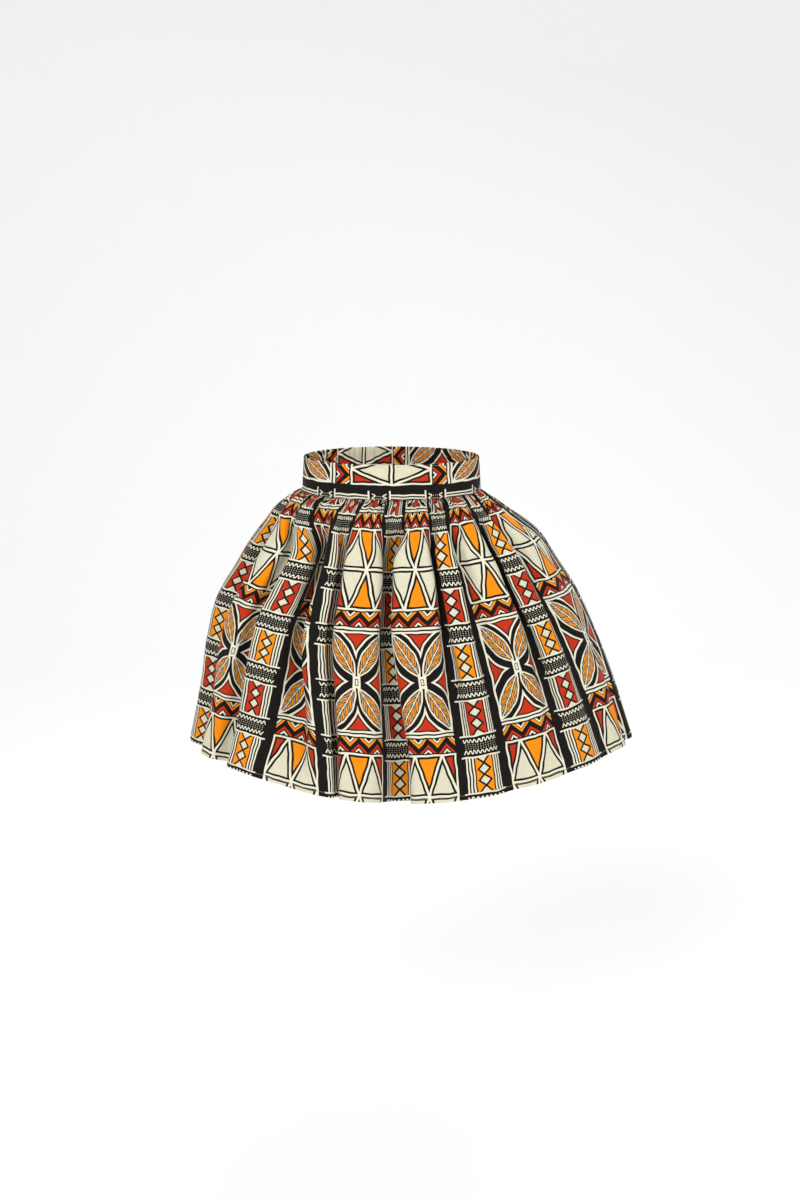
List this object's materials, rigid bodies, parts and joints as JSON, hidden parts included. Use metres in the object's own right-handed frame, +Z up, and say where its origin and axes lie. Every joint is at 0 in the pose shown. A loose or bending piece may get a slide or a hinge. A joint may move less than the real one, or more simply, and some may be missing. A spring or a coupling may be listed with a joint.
{
  "type": "mini skirt",
  "caption": "Full gathered mini skirt in printed cotton with a flat front waistband, a shirred elastic back waistband and side-seam pockets, open at waist and hem.",
  "frame": {"origin": "middle of the waist, half way up the waistband, where the wearer holds the skirt up", "axes": "+Z up through the waist opening, -Y towards the front of the skirt, +X towards the wearer's left"},
  "size_m": [0.7329, 0.4483, 0.529],
  "materials": {
    "printed_cotton": "crisp wax-printed plain-weave cotton in black, cream, orange and red",
    "waistband_cotton": "the same printed cotton, turned a quarter and faced double",
    "pocket_cotton": "the same printed cotton, pocket bags"
  },
  "bodies": {
    "root": {"waistband_front": "waistband_cotton", "waistband_back": "waistband_cotton", "skirt_front": "printed_cotton", "skirt_back": "printed_cotton", "pocket_right_front": "pocket_cotton", "pocket_right_back": "pocket_cotton", "pocket_left_front": "pocket_cotton", "pocket_left_back": "pocket_cotton"}
  },
  "joints": []
}
